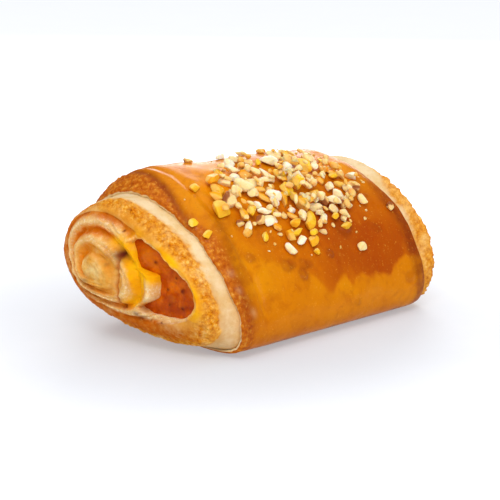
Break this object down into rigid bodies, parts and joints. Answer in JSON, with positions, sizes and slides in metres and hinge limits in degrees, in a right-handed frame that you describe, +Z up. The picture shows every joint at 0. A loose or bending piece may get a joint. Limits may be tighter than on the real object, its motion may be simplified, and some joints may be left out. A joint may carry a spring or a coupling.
{
  "type": "danish pastry",
  "caption": "Rolled danish pastry with an egg-glazed outer wrap, apricot filling at the spiral ends and chopped nuts fused on top.",
  "frame": {"origin": "centre of the bounding box at the flat base", "axes": "+X along the roll, towards the far end in the picture; -Y is the glazed front; +Z up"},
  "size_m": [0.1286, 0.0792, 0.0612],
  "materials": {
    "glazed_dough": "egg-washed golden-brown crust, pale crumb at the rolled ends",
    "apricot_jam": "glossy deep-orange apricot jam"
  },
  "bodies": {
    "root": {"dough": "glazed_dough", "jam": "apricot_jam"}
  },
  "joints": []
}
